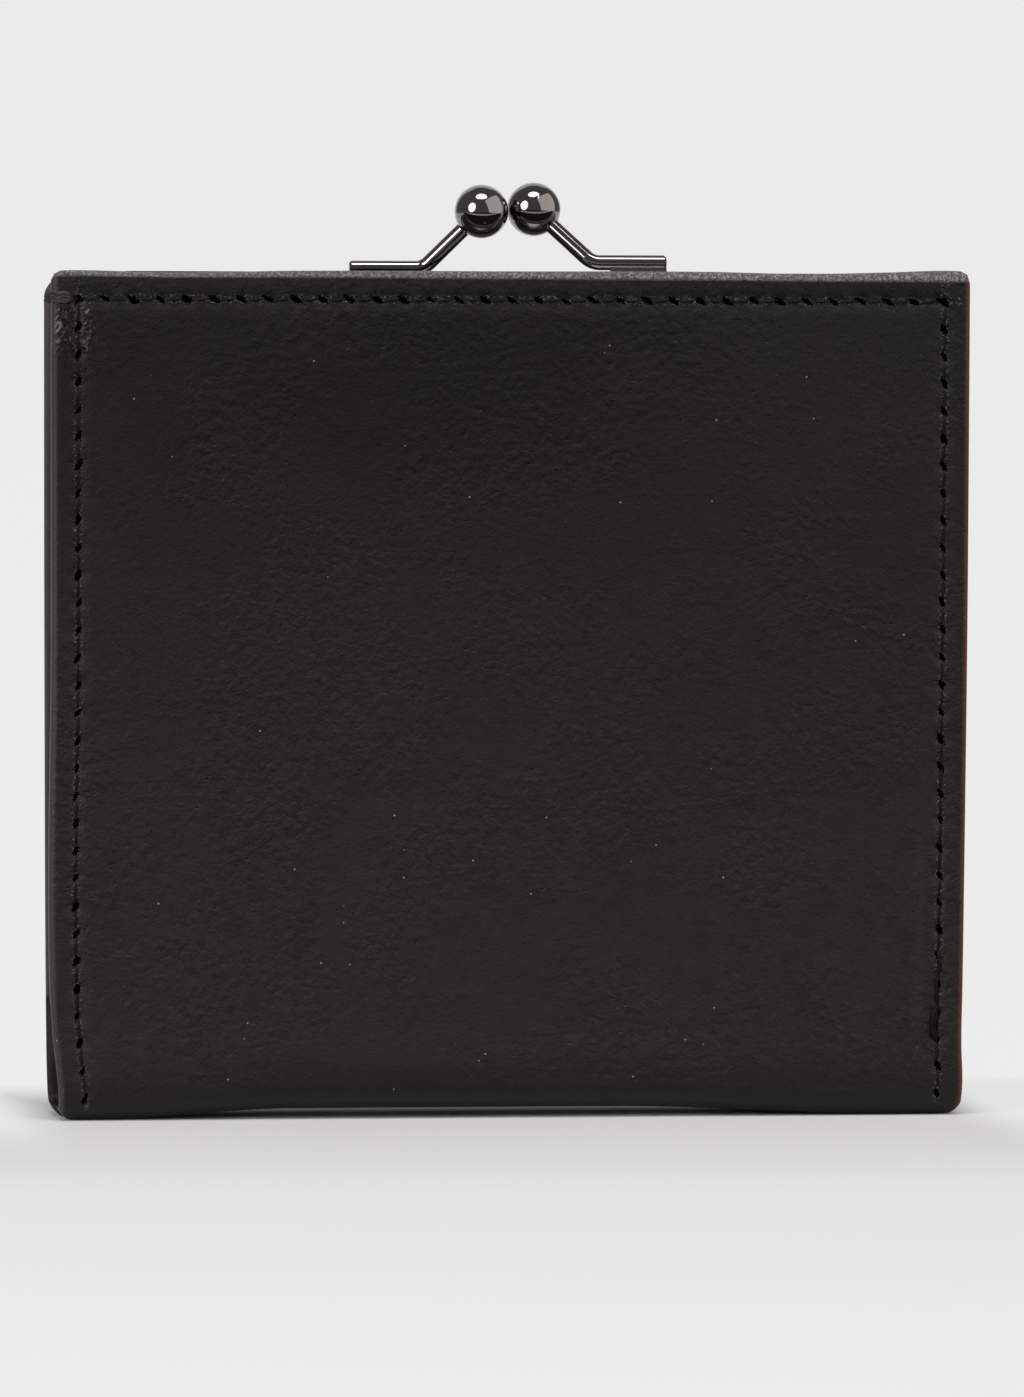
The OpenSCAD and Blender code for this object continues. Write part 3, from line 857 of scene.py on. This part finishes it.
# The turned edge at the inner fold: its length round the turn, and how far it reaches outwards
turn_run = 1.1
turn_in = 0.45
web_slack = 0.9
# How far out from the web's foot a point is taken, square to its inner fold
reach = 15.0


def gusset_edges(z):
    """Where the gusset's inner fold and its outer edge are at a height."""
    share = max(z - foot_z, 0) / (gusset_top - foot_z)
    return foot_x + (mouth_x - foot_x) * share, slot_half if z > foot_z else foot_half


for name, half in halves.items():
    side = half["side"]
    for hand, label in ((-1, "left"), (1, "right")):
        bm = bmesh.new()
        bmesh.ops.create_grid(bm, x_segments=30, y_segments=70, size=1)
        bmesh.ops.scale(bm, vec=(0.5, 0.5, 1), verts=bm.verts[:])
        bmesh.ops.translate(bm, vec=(0.5, 0.5, 0), verts=bm.verts[:])
        for v in bm.verts:
            u, share = v.co.x, v.co.y
            z = gusset_low + (gusset_top - gusset_low) * share
            fold, edge = gusset_edges(z)
            along = u * (edge - fold + turn_run)
            depth = gusset_in + gusset_t / 2
            if along < turn_run:
                swing = along / turn_run * math.pi / 2
                x, y = fold + turn_in * (1 - math.cos(swing)), depth * math.sin(swing)
            else:
                x = fold + turn_in + (along - turn_run) * (edge - fold - turn_in) / (edge - fold)
                slack = web_slack * abs(noise.noise(Vector((x * 0.11, 3.0 + hand, z * 0.045))))
                y = depth + slack * (1 - soft_step(x, 36, 43)) * soft_step(along, 1.2, 8)
            v.co = (hand * x, side * y, z)
        bm.normal_update()
        middle = max(bm.faces, key=lambda f: abs(f.normal.y))
        if middle.normal.y * side < 0:
            bmesh.ops.reverse_faces(bm, faces=bm.faces[:])
        for v in bm.verts:
            v.co.y += side * gusset_t / 2 * soft_step(abs(v.co.y), 0.0, 0.6)
        bmesh.ops.solidify(bm, geom=bm.faces[:], thickness=gusset_t)
        cut_coordinates(bm)
        for v in bm.verts:
            v.co.z += bow(v.co.x, v.co.z)
        piece = finish_mesh(bm, label + "_gusset_" + name, lining_cloth)
        upper, lower = gusset_top - foot_z, foot_z - gusset_low
        area = (slot_half - (foot_x + mouth_x) / 2) * upper + (foot_half - foot_x) * lower
        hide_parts(label + "_gusset")
        # A point square to the web's slanting inner fold, a reach out from its foot
        span_x, span_z = gusset_top - foot_z, foot_x - mouth_x
        lean = math.hypot(span_x, span_z)
        hand * (foot_x + reach * span_x / lean) * mm
        (foot_z + reach * span_z / lean) * mm
        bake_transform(piece)

# The frame: two channels folded from thin steel strip and plated dark, hung on each other by
# the ears at their feet. Crimping their edges on the leather leaves faint marks.
gunmetal = Finish("frame_gunmetal")
at = gunmetal.own_place()
smears = gunmetal.noise(at, 6, 3.0, 0.6)
scuffs = gunmetal.noise(gunmetal.stretch(at, (1, 1, 7)), 0.8, 2.0, 0.6)
frame_metal = gunmetal.surface(
    {
        "Base Color": gunmetal.blend(smears, (0.185, 0.182, 0.182), (0.215, 0.211, 0.210)),
        "Metallic": 1.0,
        "Roughness": smears * 0.07 + scuffs * 0.06 + 0.19,
    },
    gunmetal.relief(scuffs, 0.012),
)
dress(("front_rail", "back_rail", "left_rivet", "right_rivet"), frame_metal)

# The crimp cords: twisted paper, pushed into the channels to grip the lining and gussets.
kraft = Finish("twisted_paper")
at = kraft.own_place()
cord_x, cord_y, cord_z = kraft.parts(at)
turns = ((cord_x + cord_z) * 2.6 + cord_y * 2.0).maths("SINE") * 0.5 + 0.5
speckle = kraft.noise(at, 0.4, 3.0, 0.6)
kraft_tone = kraft.blend(speckle, (0.42, 0.33, 0.22), (0.58, 0.48, 0.34))
paper_cord = kraft.surface(
    {"Base Color": kraft_tone, "Roughness": 0.85}, kraft.relief(turns + speckle * 0.4, 0.12)
)
dress(("front_crimp_cord", "back_crimp_cord"), paper_cord)

# The clasp: a bent wire soldered on each channel ends in a drilled steel ball, and the two
# balls snap past each other. Both are polished and plated black nickel.
nickel = Finish("black_nickel")
at = nickel.own_place()
haze = nickel.noise(at, 2.2, 3.0, 0.55)
hairlines = nickel.noise(nickel.stretch(at, (1, 4, 9)), 0.5, 2.0, 0.7)
clasp_metal = nickel.surface(
    {
        "Base Color": nickel.blend(haze, (0.150, 0.143, 0.138), (0.195, 0.184, 0.176)),
        "Metallic": 1.0,
        "Roughness": haze * 0.05 + hairlines * 0.03 + 0.02,
        "Coat Weight": 0.7,
        "Coat IOR": 1.6,
        "Coat Roughness": 0.03,
    },
    nickel.relief(hairlines, 0.0006),
)
dress(("front_clasp_rod", "back_clasp_rod", "front_clasp_ball", "back_clasp_ball"), clasp_metal)
